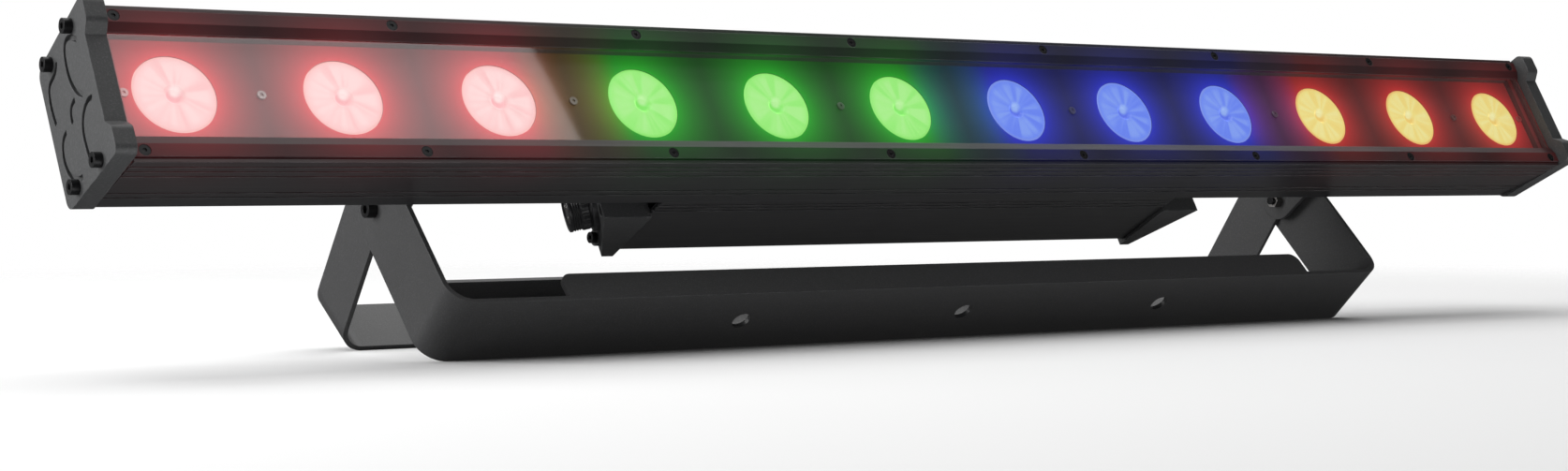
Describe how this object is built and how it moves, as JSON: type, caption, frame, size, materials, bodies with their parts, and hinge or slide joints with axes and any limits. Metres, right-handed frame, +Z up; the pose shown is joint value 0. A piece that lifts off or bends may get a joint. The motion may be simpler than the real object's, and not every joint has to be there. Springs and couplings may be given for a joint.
{
  "type": "led strip batten",
  "caption": "Long stage light bar with a row of round LED lenses behind a glass window, a driver box on its back and two crossed yokes that fold and tilt.",
  "frame": {"origin": "under the middle of the whole object, on the floor that it stands on", "axes": "+X along the bar towards its right end, -Y towards the side that it lights, +Z up"},
  "size_m": [1.008, 0.1698, 0.1681],
  "materials": {
    "black_anodised": "black anodised, satin, drawn along its length",
    "bezel_black": "black powder coat, satin",
    "cap_paint": "dark grey textured paint on a casting",
    "yoke_paint": "dark grey fine-textured powder coat",
    "screw_black": "black oxide",
    "screw_steel": "zinc plated",
    "seal_rubber": "matt black",
    "clear_glass": "clear, polished",
    "plate_black": "black, satin",
    "lens_red": "moulded, lit red",
    "lens_green": "moulded, lit green",
    "lens_blue": "moulded, lit blue",
    "lens_amber": "moulded, lit amber",
    "emitter_red": "LED, lit",
    "emitter_green": "LED, lit",
    "emitter_blue": "LED, lit",
    "emitter_amber": "LED, lit",
    "board_white": "white solder mask",
    "board_green": "green solder mask",
    "module_metal": "bare sheet",
    "connector_black": "moulded black nylon",
    "panel_black": "semi-gloss moulding",
    "display_dark": "smoked window",
    "button_grey": "moulded, slightly worn",
    "washer_nylon": "black friction washer"
  },
  "bodies": {
    "rear_yoke": {"rear_yoke": "yoke_paint", "pivot_washers": "washer_nylon"},
    "front_yoke": {"front_yoke": "yoke_paint"},
    "head": {"bezel_screws": "screw_black", "bezel_strip_bottom": "bezel_black", "bezel_strip_top": "bezel_black", "bracket_left": "yoke_paint", "bracket_right": "yoke_paint", "bracket_screws": "screw_black", "control_board": "board_green", "control_panel": "panel_black", "data_in_connector": "connector_black", "data_out_connector": "connector_black", "display_window": "display_dark", "driver_box": "black_anodised", "driver_box_screws": "screw_black", "driver_cap_left": "cap_paint", "driver_cap_right": "cap_paint", "driver_cap_screws": "screw_black", "end_cap_left": "cap_paint", "end_cap_right": "cap_paint", "end_cap_screws": "screw_black", "end_gasket_left": "seal_rubber", "end_gasket_right": "seal_rubber", "front_glass": "clear_glass", "glass_gasket": "seal_rubber", "housing": "black_anodised", "led_board_1": "board_white", "led_board_2": "board_white", "led_board_3": "board_white", "led_board_4": "board_white", "led_emitters_1": "emitter_red", "led_emitters_2": "emitter_green", "led_emitters_3": "emitter_blue", "led_emitters_4": "emitter_amber", "lens_01": "lens_red", "lens_02": "lens_red", "lens_03": "lens_red", "lens_04": "lens_green", "lens_05": "lens_green", "lens_06": "lens_green", "lens_07": "lens_blue", "lens_08": "lens_blue", "lens_09": "lens_blue", "lens_10": "lens_amber", "lens_11": "lens_amber", "lens_12": "lens_amber", "lens_plate": "plate_black", "pivot_bolts": "screw_black", "pivot_nuts": "screw_steel", "plate_screws": "screw_steel", "plate_standoffs": "screw_steel", "power_in_connector": "connector_black", "power_module": "module_metal", "power_out_connector": "connector_black", "wiring_harness": "seal_rubber"},
    "button_1": {"button_1": "button_grey"},
    "button_2": {"button_2": "button_grey"},
    "button_3": {"button_3": "button_grey"},
    "button_4": {"button_4": "button_grey"}
  },
  "joints": [
    {"name": "yoke_fold", "type": "hinge", "parent": "rear_yoke", "child": "front_yoke", "pos_m": [0, 0.00892, 0.07305], "axis": [1, 0, 0], "range_deg": [-25, 62]},
    {"name": "head_tilt", "type": "hinge", "parent": "front_yoke", "child": "head", "pos_m": [0, 0.00892, 0.07305], "axis": [-1, 0, 0], "range_deg": [-9, 90]},
    {"name": "button_1_press", "type": "slide", "parent": "head", "child": "button_1", "axis": [0, -0.8695, 0.4939], "range_m": [0, 0.0008], "stiffness_N_per_m": 400},
    {"name": "button_2_press", "type": "slide", "parent": "head", "child": "button_2", "axis": [0, -0.8695, 0.4939], "range_m": [0, 0.0008], "stiffness_N_per_m": 400},
    {"name": "button_3_press", "type": "slide", "parent": "head", "child": "button_3", "axis": [0, -0.8695, 0.4939], "range_m": [0, 0.0008], "stiffness_N_per_m": 400},
    {"name": "button_4_press", "type": "slide", "parent": "head", "child": "button_4", "axis": [0, -0.8695, 0.4939], "range_m": [0, 0.0008], "stiffness_N_per_m": 400}
  ]
}
